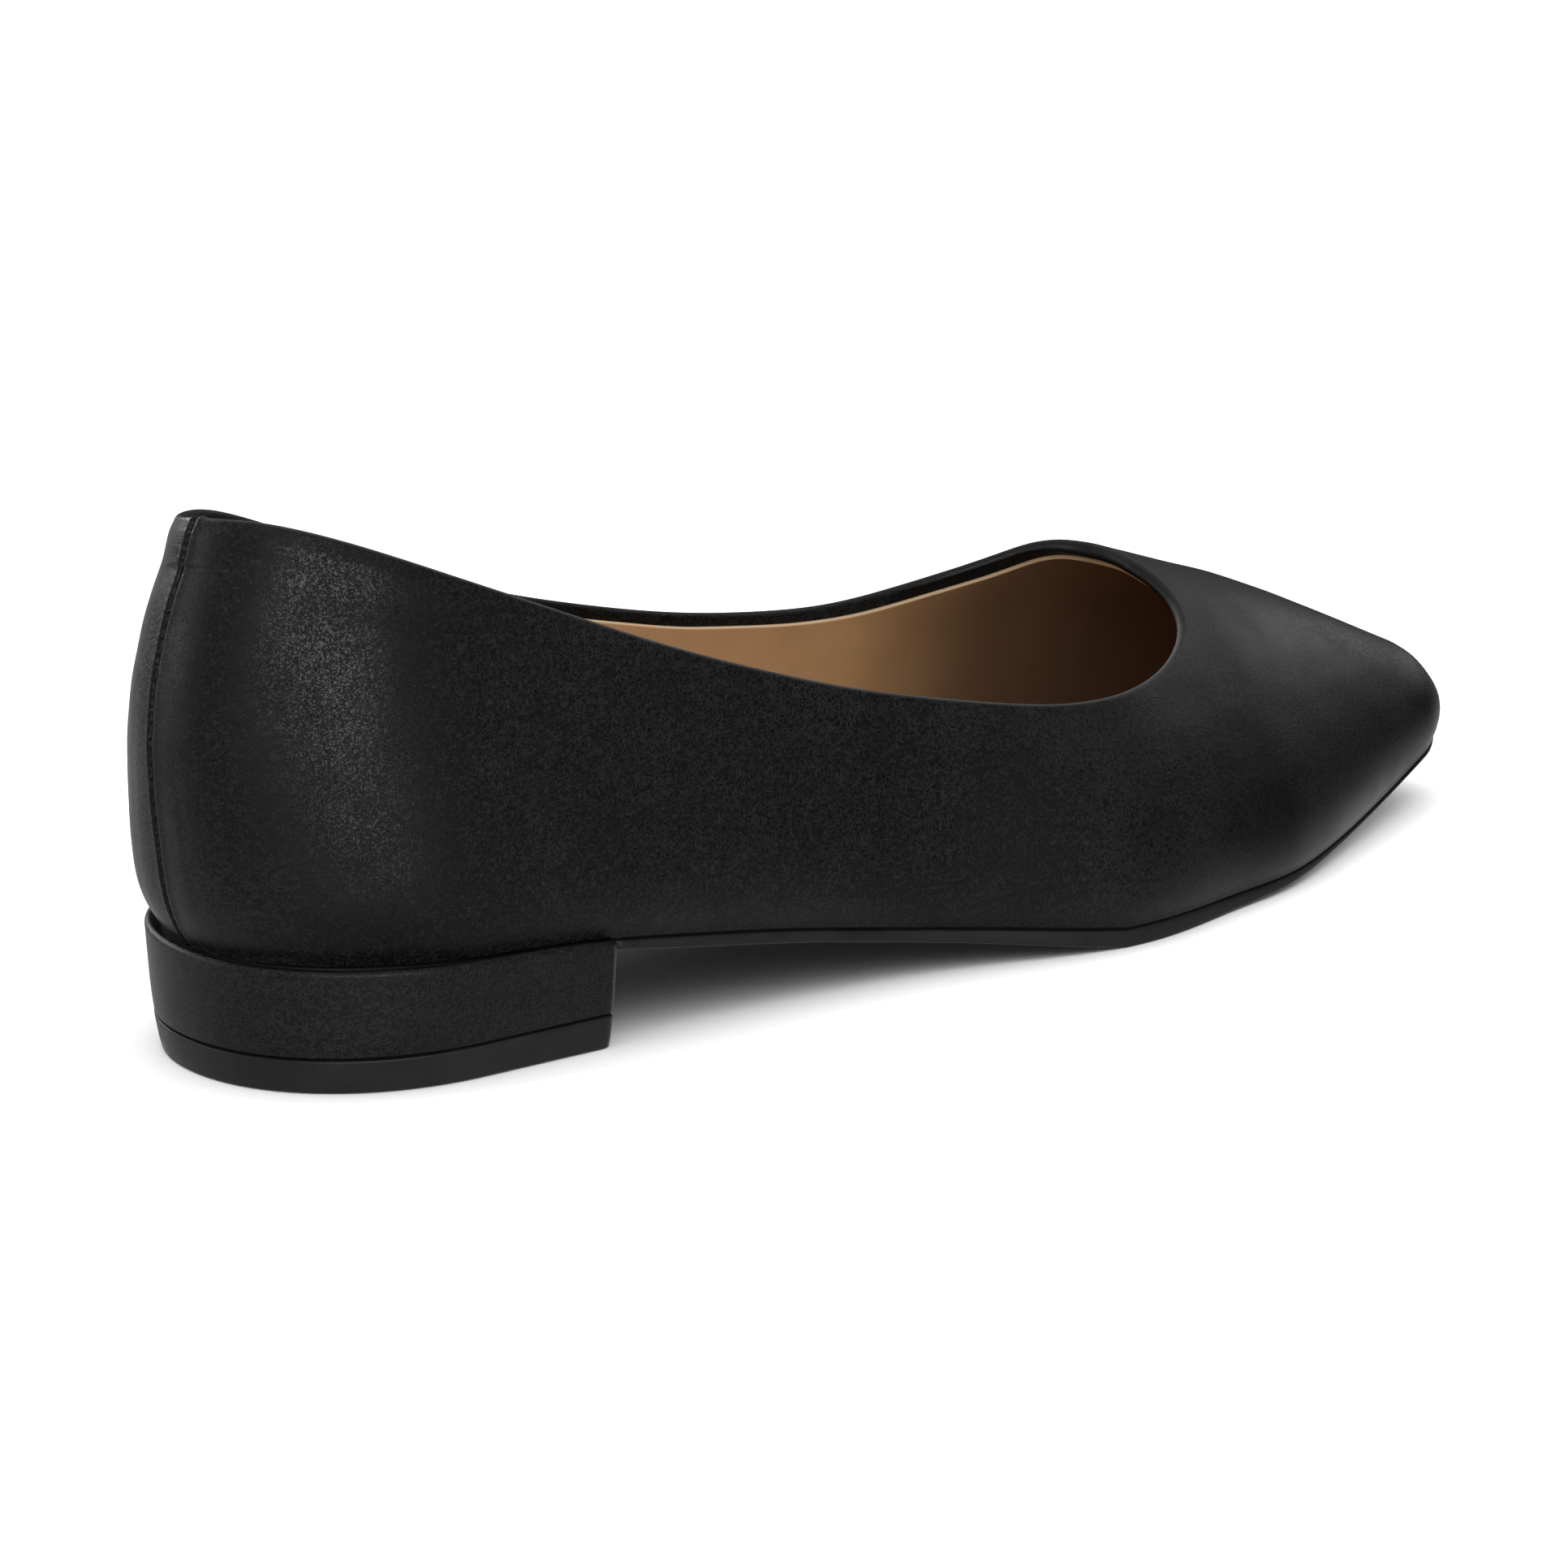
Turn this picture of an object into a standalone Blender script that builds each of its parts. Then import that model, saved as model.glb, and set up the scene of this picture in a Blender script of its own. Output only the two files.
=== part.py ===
"""Pointed ballet flat with a low block heel: the right shoe of a pair, in metres.

+X points to the toe, +Y to the inner side of the foot, +Z up. The origin is on the floor, under the
heel. The shape functions count x from the back of the feather edge, the line where the
upper meets the sole, and the objects are moved back by HEEL_REST.
"""

from collections import namedtuple
from math import pi, radians

import bmesh
import bpy
import numpy as np

MM = 0.001

LENGTH = 248.8 * MM
HEEL_WIDTH = 58 * MM
BALL_WIDTH = 72 * MM
TOE_WIDTH = 19 * MM
TOE_SWING = 5 * MM
HEEL_ROUND = 34.5 * MM
TOE_ROUND = 9 * MM

HEEL_HEIGHT = 18.3 * MM
BREAST = 56.8 * MM
HEEL_REST = 28.8 * MM
LIFT = 5.5 * MM
SOLE = 3.0 * MM
INSOLE = 2.0 * MM
TOE_SPRING = 10.4 * MM
FLAT_START, FLAT_END = 0.607, 0.652

BACK_HEIGHT = 66 * MM
LAST_CREST = 94.7 * MM
INSTEP_CREST = 46 * MM
TOE_CREST = 11.4 * MM
SECTION_POWER = 1.95
VAMP = 67 * MM
WALL = 1.8 * MM
BULGE = 2.6 * MM
BULGE_UP = 10 * MM
SOFT = 6 * MM

RIM = 0.4 * MM
GAP = 0.3 * MM

# Plan of the feather edge: place along the sole, half width, and how far the middle swings inwards.
Plan = namedtuple("Plan", "along half swing")
PLAN = (
    Plan(0.00, 0.486 * HEEL_WIDTH, 0.00),
    Plan(0.11, 0.488 * HEEL_WIDTH, 0.00),
    Plan(0.235, 0.498 * HEEL_WIDTH, 0.00),
    Plan(0.375, 0.485 * HEEL_WIDTH, -0.10),
    Plan(0.495, 0.420 * BALL_WIDTH, -0.15),
    Plan(0.627, 0.490 * BALL_WIDTH, -0.25),
    Plan(0.718, 0.431 * BALL_WIDTH, -0.12),
    Plan(0.77, 0.392 * BALL_WIDTH, -0.08),
    Plan(0.818, 0.336 * BALL_WIDTH, 0.14),
    Plan(0.909, 0.811 * TOE_WIDTH, 0.64),
    Plan(1.00, 0.360 * TOE_WIDTH, 1.10),
)

# Underside of the sole behind the ball, as a share of the heel's height.
SoleLine = namedtuple("SoleLine", "along rise")
SOLE_LINE = (
    SoleLine(0.00, 1.000),
    SoleLine(0.06, 0.998),
    SoleLine(0.13, 0.968),
    SoleLine(0.20, 0.903),
    SoleLine(0.23, 0.850),
    SoleLine(0.27, 0.760),
    SoleLine(0.37, 0.545),
    SoleLine(0.43, 0.400),
    SoleLine(0.52, 0.196),
    SoleLine(0.57, 0.082),
    SoleLine(0.607, 0.000),
)

# Thickness of the sole at its edge, as a share of the thickest.
SoleThick = namedtuple("SoleThick", "along share")
SOLE_THICK = (
    SoleThick(0.00, 0.40),
    SoleThick(0.19, 0.42),
    SoleThick(0.23, 0.52),
    SoleThick(0.27, 0.63),
    SoleThick(0.35, 0.69),
    SoleThick(0.43, 0.70),
    SoleThick(0.50, 0.78),
    SoleThick(0.57, 0.93),
    SoleThick(0.62, 1.00),
    SoleThick(0.66, 0.96),
    SoleThick(0.75, 0.60),
    SoleThick(0.84, 0.26),
    SoleThick(1.00, 0.24),
)

# Ridge of the last above the feather edge, how far it lies inwards of the middle, and how square
# the outer and inner sides of the section are.
Crest = namedtuple("Crest", "along height inward outer inner")
CRESTS = (
    Crest(0.00, 1.000 * LAST_CREST, 0.00, 2.35, 2.35),
    Crest(0.245, 0.948 * LAST_CREST, 0.02, 2.30, 2.35),
    Crest(0.445, 0.758 * LAST_CREST, 0.08, 2.10, 2.50),
    Crest(0.595, 1.345 * INSTEP_CREST, 0.13, 1.85, 2.70),
    Crest(0.738, 1.039 * INSTEP_CREST, 0.13, 1.75, 2.70),
    Crest(0.818, 0.873 * INSTEP_CREST, 0.09, 1.80, 2.50),
    Crest(0.909, 0.587 * INSTEP_CREST, 0.03, 1.95, 2.20),
    Crest(1.00, 1.00 * TOE_CREST, 0.00, 2.10, 2.10),
)

# Height of the topline as a share of the back's. 0 is the back, 1 the toe, 2 the back again by way
# of the inner side.
Top = namedtuple("Top", "around height")
TOPS = (
    Top(0.00, 1.005),
    Top(0.05, 1.014),
    Top(0.10, 0.982),
    Top(0.17, 0.888),
    Top(0.24, 0.778),
    Top(0.32, 0.674),
    Top(0.40, 0.601),
    Top(0.49, 0.554),
    Top(0.58, 0.532),
    Top(0.66, 0.533),
    Top(0.72, 0.549),
    Top(0.78, 0.582),
    Top(0.83, 0.624),
    Top(0.88, 0.666),
    Top(0.93, 0.698),
    Top(1.00, 0.726),
    Top(1.07, 0.735),
    Top(1.13, 0.736),
    Top(1.17, 0.731),
    Top(1.22, 0.717),
    Top(1.28, 0.682),
    Top(1.34, 0.636),
    Top(1.42, 0.593),
    Top(1.50, 0.590),
    Top(1.60, 0.607),
    Top(1.68, 0.650),
    Top(1.76, 0.742),
    Top(1.83, 0.854),
    Top(1.90, 0.944),
    Top(1.95, 0.974),
    Top(2.00, 1.005),
)

# Curve of the back as a share of its height: out at the counter, forward at the collar.
BackCurve = namedtuple("BackCurve", "up back")
BACK_CURVE = (
    BackCurve(0.00, 0.000),
    BackCurve(0.25, 0.050),
    BackCurve(0.50, 0.088),
    BackCurve(0.75, 0.056),
    BackCurve(1.00, -0.035),
)

# Heel block and top lift in plan, from the floor up: back, full width.
HeelPlan = namedtuple("HeelPlan", "up back width")
HEEL_PLAN = (
    HeelPlan(0 * MM, -0.7 * MM, 0.993 * HEEL_WIDTH),
    HeelPlan(5.5 * MM, -1.6 * MM, 1.028 * HEEL_WIDTH),
    HeelPlan(13 * MM, -2.2 * MM, 1.053 * HEEL_WIDTH),
    HeelPlan(21 * MM, -2.6 * MM, 1.072 * HEEL_WIDTH),
)

LEAVE = 0.415 * LENGTH
PIVOT = LENGTH - VAMP - 25 * MM
FAN = 9 * MM


def spline(xs, ys):
    """Natural cubic curve through the points."""
    xs, ys = np.array(xs, float), np.array(ys, float)
    count = len(xs)
    step = np.diff(xs)
    matrix = np.eye(count)
    right = np.zeros(count)
    for i in range(1, count - 1):
        matrix[i, i - 1 : i + 2] = step[i - 1], 2 * (step[i - 1] + step[i]), step[i]
        right[i] = 6 * ((ys[i + 1] - ys[i]) / step[i] - (ys[i] - ys[i - 1]) / step[i - 1])
    bend = np.linalg.solve(matrix, right)

    def value(x):
        i = np.clip(np.searchsorted(xs, x) - 1, 0, count - 2)
        size, left, rest = step[i], x - xs[i], xs[i + 1] - x
        cubic = (bend[i] * rest**3 + bend[i + 1] * left**3) / (6 * size)
        start = (ys[i] / size - bend[i] * size / 6) * rest
        end = (ys[i + 1] / size - bend[i + 1] * size / 6) * left
        return cubic + start + end

    return value


def column(rows, key, name):
    return spline([getattr(row, key) for row in rows], [getattr(row, name) for row in rows])


half_at = column(PLAN, "along", "half")
swing_at = column(PLAN, "along", "swing")
rise_at = column(SOLE_LINE, "along", "rise")
thick_at = column(SOLE_THICK, "along", "share")
crest_at = column(CRESTS, "along", "height")
inward_at = column(CRESTS, "along", "inward")
outer_power = column(CRESTS, "along", "outer")
inner_power = column(CRESTS, "along", "inner")
top_at = column(TOPS, "around", "height")
back_at = column(BACK_CURVE, "up", "back")
heel_back_at = column(HEEL_PLAN, "up", "back")
heel_width_at = column(HEEL_PLAN, "up", "width")


def smooth(value):
    value = np.clip(value, 0, 1)
    return value * value * (3 - 2 * value)


def ends(x):
    """Rounds the plan off at the seat and at the tip."""
    back = np.clip(1 - x / HEEL_ROUND, 0, 1)
    front = np.clip(1 - (LENGTH - x) / TOE_ROUND, 0, 1)
    return ((1 - back**2) * (1 - front**2)) ** 0.5


def half(x):
    return half_at(x / LENGTH) * ends(x)


def middle(x):
    return swing_at(x / LENGTH) * TOE_SWING


def ridge(x):
    return middle(x) + inward_at(x / LENGTH) * BALL_WIDTH * ends(x)


def sole_bottom(x):
    along = x / LENGTH
    arch = np.maximum(0, rise_at(np.minimum(along, FLAT_START))) * HEEL_HEIGHT
    toe = np.clip((along - FLAT_END) / (1 - FLAT_END), 0, 1) ** 2 * TOE_SPRING
    return np.where(along < FLAT_START, arch, 0) + toe


def feather(x):
    return sole_bottom(x) + SOLE * thick_at(np.clip(x / LENGTH, 0, 1))


def over_sole(x):
    """Height of the feather edge with its corner at the ball rounded off, for the form above it."""
    corner = FLAT_START * LENGTH
    slope = sole_bottom(corner - MM) / MM
    return feather(x) + slope * SOFT * np.log1p(np.exp(-np.abs(x - corner) / SOFT))


def crest(x):
    nose = np.clip(1 - (LENGTH - x) / TOE_ROUND, 0, 1)
    return crest_at(x / LENGTH) * (1 - nose**2.4) ** (1 / 2.4)


def height(x, y):
    """Surface of the last over a point of the plan."""
    top = ridge(x)
    outer = y < top
    edge = middle(x) + np.where(outer, -1, 1) * half(x)
    reach = np.where(np.abs(edge - top) < 1e-9, 1e-9, edge - top)
    power = np.where(outer, outer_power(x / LENGTH), inner_power(x / LENGTH))
    share = (1 - np.clip((y - top) / reach, 0, 1) ** power) ** (1 / SECTION_POWER)
    return feather(x) + (over_sole(x) - feather(x) + crest(x)) * share


def dress(points):
    """Bulges the wall over the feather edge and curves the back."""
    x, y, z = points[..., 0], points[..., 1], points[..., 2]
    up = z - feather(x)
    part = up / BULGE_UP
    out = BULGE * part * np.exp(1 - part)
    side = np.clip((y - middle(x)) / np.maximum(half(x), 1e-6), -1, 1)
    share = np.clip(up / BACK_HEIGHT, 0, 1.2)
    curve = back_at(share) * BACK_HEIGHT * np.clip(1 - x / (0.36 * LENGTH), 0, 1) ** 2
    seat = np.clip(1 - x / HEEL_ROUND, 0, 1)
    tip = np.clip(1 - (LENGTH - x) / TOE_ROUND, 0, 1)
    return np.stack([x - curve + out * (0.7 * tip**2 - seat**2), y + out * side, z], -1)


def even(points, count):
    """The line again with evenly spaced points."""
    run = np.r_[0, np.cumsum(np.linalg.norm(np.diff(points, axis=0), axis=1))]
    at = np.linspace(0, run[-1], count)
    return np.stack([np.interp(at, run, points[:, k]) for k in range(points.shape[1])], -1)


def feather_edge(count):
    """Back to tip along one side: x and the distance from the middle."""
    x = LENGTH * (1 - np.cos(np.linspace(0, pi, 4001))) / 2
    x = even(np.stack([x, half(x)], -1), count)[:, 0]
    return np.stack([x, half(x)], -1)


def inner_end(x, around, side):
    """Where the wall's line that starts at x on one side heads for: the lines fan out round the toe."""
    part = np.clip((x - LEAVE) / (LENGTH - LEAVE), 0, 1)
    span = PIVOT - LEAVE
    end = np.where(x < LEAVE, x, LEAVE + span * (1 - (1 - part) ** ((LENGTH - LEAVE) / span)))
    return end, ridge(end) + side * FAN * part * np.sin(pi / 2 * np.clip((1 - around) / 0.25, 0, 1))


def wall_line(start, foot, side, around, count):
    """One line of the upper's outside, from the feather edge to the topline."""
    end_x, end_y = inner_end(start, around, side)
    tall = top_at(around if side < 0 else 2 - around) * BACK_HEIGHT

    def run(share):
        x = start + (end_x - start) * share
        y = foot + (end_y - foot) * share
        if around > 0:
            return x, y, height(x, y)
        back = (1 - (1 - share) ** outer_power(0.0)) ** (1 / SECTION_POWER)
        return x, y, feather(x) + crest(x) * back

    share = np.linspace(0, 1, 1500) ** 3
    x, y, z = run(share)
    over = z - over_sole(x) - tall
    k = np.nonzero(over >= 0)[0][0]
    stop = share[k - 1] + (share[k] - share[k - 1]) * over[k - 1] / (over[k - 1] - over[k])
    return even(dress(np.stack(run(np.linspace(0, 1, 600) ** 3 * stop), -1)), count)


def wall_grid(around=56, up=13):
    """Outside of the upper: once round from the back by the outer side, rows going up."""
    edge = feather_edge(around + 1)
    sides = {}
    for side in (-1, 1):
        sides[side] = [
            wall_line(x, middle(x) + side * w, side, i / around, up + 1) for i, (x, w) in enumerate(edge)
        ]
    return np.array(sides[-1] + sides[1][-2:0:-1])


def normals(grid):
    """Outward normals of the wall."""
    along = np.roll(grid, -1, axis=0) - np.roll(grid, 1, axis=0)
    upward = np.gradient(grid, axis=1)
    cross = np.cross(along, upward)
    return cross / np.linalg.norm(cross, axis=-1, keepdims=True)


def material(name, colour, roughness):
    made = bpy.data.materials.new(name)
    made.use_nodes = True
    shader = made.node_tree.nodes["Principled BSDF"]
    shader.inputs["Base Color"].default_value = (*colour, 1)
    shader.inputs["Roughness"].default_value = roughness
    shader.inputs["Metallic"].default_value = 0
    return made


def build(name, points, faces, look, thick=None, side=0):
    """One object from points and faces. An open surface is thickened towards the given side of it."""
    mesh = bpy.data.meshes.new(name)
    mesh.from_pydata([tuple(p) for p in points], [], faces)
    work = bmesh.new()
    work.from_mesh(mesh)
    bmesh.ops.triangulate(work, faces=work.faces)
    if thick is None:
        bmesh.ops.recalc_face_normals(work, faces=work.faces)
    work.to_mesh(mesh)
    work.free()
    mesh.materials.append(look)
    mesh.shade_smooth()
    mesh.set_sharp_from_angle(angle=radians(40))
    obj = bpy.data.objects.new(name, mesh)
    obj.location.x = -HEEL_REST
    shoe.objects.link(obj)
    if thick is not None:
        shell = obj.modifiers.new("wall", "SOLIDIFY")
        shell.thickness = thick
        shell.offset = side
        shell.use_quality_normals = True
    return obj


def band(lower, upper):
    """Faces between two closed rings of point numbers."""
    nexts = list(range(1, len(lower))) + [0]
    return [(lower[i], lower[j], upper[j], upper[i]) for i, j in enumerate(nexts)]


def ladder(outer, inner):
    """Faces across a plan between its two sides, which may share their end points."""
    rungs = [(outer[i], outer[i + 1], inner[i + 1], inner[i]) for i in range(len(outer) - 1)]
    return [tuple(dict.fromkeys(rung)) for rung in rungs]


def slab(name, levels, look, square_end=False):
    """A flat piece from its levels, bottom first. Each level is the outer and the inner side's
    points from back to front; the two sides share the first point, and the last unless the front
    end is square."""
    points, rings, sides = [], [], []
    for outer, inner in levels:
        first = len(points)
        last = None if square_end else -1
        middle_part = inner[1:last]
        points += list(outer) + list(middle_part)
        outer_ids = list(range(first, first + len(outer)))
        inner_ids = list(range(first + len(outer), first + len(outer) + len(middle_part)))
        rings.append(outer_ids + inner_ids[::-1])
        sides.append((outer_ids, [first] + inner_ids + ([] if square_end else [outer_ids[-1]])))
    faces = ladder(*sides[0]) + ladder(*sides[-1])
    for lower, upper in zip(rings, rings[1:]):
        faces += band(lower, upper)
    return build(name, points, faces, look)


def inset_line(line, amount):
    """Moves one side's plan line (x, distance from the middle) towards the inside."""
    along = np.gradient(line, axis=0)
    along[0] = 0, 1
    if line[-1, 1] < 1e-6:
        along[-1] = 0, -1
    turn = np.stack([along[:, 1], -along[:, 0]], -1)
    moved = line + turn / np.linalg.norm(turn, axis=1, keepdims=True) * amount
    moved[0, 1] = 0
    if line[-1, 1] < 1e-6:
        moved[-1, 1] = 0
    return moved


def both_sides(line, level):
    """A plan line as the outer and the inner side's points at a height given by a function of x."""
    x, away = line[:, 0], line[:, 1]
    return [np.stack([x, middle(np.clip(x, 0, LENGTH)) + side * away, level(x)], -1) for side in (-1, 1)]


def outsole_line():
    """Plan of the outsole: within the heel's rim, then just outside the feather edge."""
    step = BREAST + GAP + np.array([0, 0.5, 1.0]) * MM
    stations = np.unique(np.r_[feather_edge(60)[:, 0], BREAST, step, FLAT_START * LENGTH, FLAT_END * LENGTH])
    line = np.stack([stations, half(stations)], -1)
    out = smooth((stations - step[0]) / (step[-1] - step[0]))
    return inset_line(line, (0.3 * MM - 0.7 * MM * out)[:, None])


def outsole():
    line = outsole_line()
    levels = (
        (0.3 * MM, lambda x: sole_bottom(x)),
        (0.0, lambda x: 0.6 * sole_bottom(x) + 0.4 * (feather(x) - GAP)),
        (0.0, lambda x: feather(x) - GAP),
    )
    sides = [both_sides(inset_line(line, amount), level) for amount, level in levels]
    return slab("outsole", sides, material("sole_rubber", (0.012, 0.012, 0.012), 0.6))


def insole():
    edge = feather_edge(48)
    line = inset_line(edge, WALL + 2 * GAP)
    levels = (
        (0.0, lambda x: feather(x)),
        (0.0, lambda x: feather(x) + INSOLE - 0.5 * MM),
        (0.5 * MM, lambda x: feather(x) + INSOLE),
    )
    sides = [both_sides(inset_line(line, amount), level) for amount, level in levels]
    return slab("insole", sides, material("tan_leather", (0.47, 0.24, 0.11), 0.6))


def heel_line(up, count=25):
    """One side of the heel's plan at a height: a D that ends square at the breast."""
    back, width = heel_back_at(up), heel_width_at(up)
    x = back + (BREAST - back) * (1 - np.cos(np.linspace(0, pi / 2, 801)))
    corner = np.clip(1 - (x - back) / HEEL_ROUND, 0, 1)
    return even(np.stack([x, width / 2 * (1 - corner**2.1) ** (1 / 2.1)], -1), count)


def heel():
    """Block with a seat for the outsole, and a rim that stands up just past the upper's foot."""

    def rim(x):
        return feather(np.clip(x, 0, LENGTH)) + RIM

    def flat(z):
        return lambda x: np.full_like(x, z)

    seat_edge = outsole_line()
    seat_edge = seat_edge[seat_edge[:, 0] <= BREAST + 1e-9]
    seat_edge[-1, 0] = BREAST
    top = heel_line(20 * MM)
    rings = [
        (heel_line(LIFT), flat(LIFT + GAP)),
        (heel_line(10 * MM), flat(10 * MM)),
        (heel_line(14 * MM), flat(14 * MM)),
        (top, lambda x: rim(x) - 0.8 * MM),
        (inset_line(top, 0.6 * MM), rim),
    ]
    for out, level in ((0.95 * MM, rim), (GAP, lambda x: sole_bottom(np.clip(x, 0, LENGTH)) - GAP)):
        rings.append((inset_line(even(seat_edge, 25), -out), level))
    levels = []
    for line, level in rings:
        line = line.copy()
        line[-1, 0] = BREAST
        levels.append(both_sides(line, level))
    return slab("heel", levels, leather, square_end=True)


def top_lift():
    levels = []
    for up, amount in ((0.0, 0.4 * MM), (0.4 * MM, 0.0), (LIFT, 0.0)):
        line = inset_line(heel_line(up), amount)
        line[-1, 0] = BREAST - amount
        levels.append(both_sides(line, lambda x, up=up: np.full_like(x, up)))
    return slab("top_lift", levels, material("lift_rubber", (0.014, 0.014, 0.014), 0.5), square_end=True)


def upper():
    """The hollow shell, open at the collar and underneath."""
    grid = wall_grid()
    count, rows = grid.shape[:2]
    number = np.arange(count * rows).reshape(count, rows)
    faces = []
    for row in range(rows - 1):
        faces += band(list(number[:, row]), list(number[:, row + 1]))
    return build("upper", grid.reshape(-1, 3), faces, leather, WALL, -1)


for old in list(bpy.data.objects):
    bpy.data.objects.remove(old)

shoe = bpy.data.collections.new("ballet_flat")
bpy.context.scene.collection.children.link(shoe)
leather = material("black_leather", (0.016, 0.016, 0.017), 0.42)

upper()
insole()
outsole()
heel()
top_lift()
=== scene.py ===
"""Looks of the pointed ballet flat with a low block heel, right shoe.

The shoe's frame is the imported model's: +X to the toe, +Y to the inner side, +Z up, origin on the floor
under the heel. The shape functions count x from the back of the feather edge, and place() moves their
points into the frame. Lengths are in metres.
"""

from collections import namedtuple
from math import cos, pi, radians, sin

import bmesh
import bpy
import numpy as np
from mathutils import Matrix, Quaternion, Vector

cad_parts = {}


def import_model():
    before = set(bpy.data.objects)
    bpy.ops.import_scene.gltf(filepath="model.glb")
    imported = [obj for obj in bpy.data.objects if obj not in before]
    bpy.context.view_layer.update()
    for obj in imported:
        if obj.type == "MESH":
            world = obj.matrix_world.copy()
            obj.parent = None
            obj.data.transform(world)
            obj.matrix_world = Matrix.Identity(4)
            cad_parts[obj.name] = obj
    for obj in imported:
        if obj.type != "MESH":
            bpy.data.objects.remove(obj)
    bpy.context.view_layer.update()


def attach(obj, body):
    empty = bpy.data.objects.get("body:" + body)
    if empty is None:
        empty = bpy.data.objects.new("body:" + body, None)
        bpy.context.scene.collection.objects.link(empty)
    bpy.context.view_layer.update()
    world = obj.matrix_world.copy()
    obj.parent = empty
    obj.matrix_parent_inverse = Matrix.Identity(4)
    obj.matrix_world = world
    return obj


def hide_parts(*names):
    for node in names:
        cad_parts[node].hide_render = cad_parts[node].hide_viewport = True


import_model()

MM = 0.001
MERGE = 0.001 * MM

# Driving sizes of the form, the same as the solids'. FLAT_START and FLAT_END are shares of the length.
LENGTH = 248.8 * MM
HEEL_WIDTH = 58 * MM
BALL_WIDTH = 72 * MM
TOE_WIDTH = 19 * MM
TOE_SWING = 5 * MM
HEEL_ROUND = 34.5 * MM
TOE_ROUND = 9 * MM
HEEL_HEIGHT = 18.3 * MM
BREAST = 56.8 * MM
HEEL_REST = 28.8 * MM
LIFT = 5.5 * MM
SOLE = 3.0 * MM
INSOLE = 2.0 * MM
TOE_SPRING = 10.4 * MM
FLAT_START, FLAT_END = 0.607, 0.652
BACK_HEIGHT = 66 * MM
LAST_CREST = 94.7 * MM
INSTEP_CREST = 46 * MM
TOE_CREST = 11.4 * MM
SECTION_POWER = 1.95
VAMP = 67 * MM
BULGE = 2.6 * MM
BULGE_UP = 10 * MM
SOFT = 6 * MM
GAP = 0.3 * MM

# Leather: the roll of the collar at the sides and at the throat, and the roll over the feather edge
COLLAR_ROLL = 0.75 * MM
THROAT_ROLL = 1.25 * MM
FEATHER_ROLL = 1.2 * MM

# Leather: the collar's folded edge, and the soft hollow and swell by it near the back
COLLAR_FOLD = 7.6 * MM
FOLD_STEP = 0.3 * MM
FOLD_WIDE = 4.5 * MM
HOLLOW = 0.24 * MM
HOLLOW_WIDE = 3.4 * MM
SWELL = 0.22 * MM
SWELL_BELOW = 3.0 * MM
SWELL_WIDE = 3.0 * MM
LONG_WAVE, LONG_WAVE_HIGH = 34 * MM, 0.09 * MM
SHORT_WAVE, SHORT_WAVE_HIGH = 13 * MM, 0.04 * MM

# Lining: its thickness, the black band above it, and where painted shade darkens it under the vamp
LINING = 0.7 * MM
COLLAR_BAND = 3.0 * MM
THROAT_BAND = 0.3 * MM
SIDE_BAND = -0.9 * MM
LINING_FOOT = 0.6 * MM
DARK_FROM = 140 * MM
DARK_OVER = 36 * MM

# Seam up the back
SEAM_END = 15 * MM
SEAM_DEEP = 0.8 * MM
SEAM_WIDE = 0.44 * MM
STITCH_PITCH = 2.1 * MM
STITCH_LONG = 1.5 * MM
STITCH_WIDE = 0.34 * MM
STITCH_SUNK = 0.22 * MM

# Insole
SOCK_CLEAR = 0.15 * MM
SOCK_SPREAD = 1.15 * MM
SOCK_ROUND = 0.5 * MM

# Outsole: how far it lies inside the heel's rim and stands out of the feather edge, and its soft edges
SOLE_IN = 0.3 * MM
SOLE_OUT = 0.4 * MM
SOLE_ROUND_BELOW = 0.35 * MM
SOLE_ROUND_ABOVE = 0.25 * MM

# Heel and top lift
HEEL_CORNER = 1.4 * MM
HEEL_TOP = 20 * MM
HEEL_ROUND_BELOW = 0.35 * MM
RIM = 0.45 * MM
RIM_ROUND = 0.8 * MM
SEAT_IN = 2.6 * MM
JOINT = 0.35 * MM
LIFT_ROUND = 0.5 * MM
LIFT_TOP_ROUND = 0.3 * MM

# Floor and camera
FLOOR_REACH = 6.0
CAMERA_TURN = radians(35.6)
CAMERA_RISE = radians(16.0)
CAMERA_AWAY = 1.30
CAMERA_AIM = (0.0418, 0.0, 0.0417)
FRAME_AIM = (0.0825, 0.0003, 0.0252)
LENS = 194

# Colours of the leather, the lining, the rubber, the thread and the floor
# The second black is a painted glint for the wrinkle lines
BLACK, BLACK_GLINT = (0.0002, 0.0002, 0.0002), (0.0042, 0.0042, 0.0044)
# A painted highlight for the crest of the collar's roll
BLACK_ROLL_HIGHLIGHT = (0.045, 0.045, 0.048)
TAN, TAN_PALE = (0.45, 0.288, 0.152), (0.51, 0.334, 0.180)
# The first tan here is painted shade for the lining under the vamp; the second is the paler cut edge
TAN_PAINTED_SHADE, TAN_CUT = (0.125, 0.074, 0.042), (0.50, 0.35, 0.21)
RUBBER, RUBBER_WORN = (0.0028, 0.0028, 0.0028), (0.0045, 0.0045, 0.0045)
THREAD, THREAD_PALE = (0.0010, 0.0010, 0.0010), (0.0035, 0.0035, 0.0035)
FLOOR_WHITE = (0.93, 0.93, 0.93)

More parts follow.
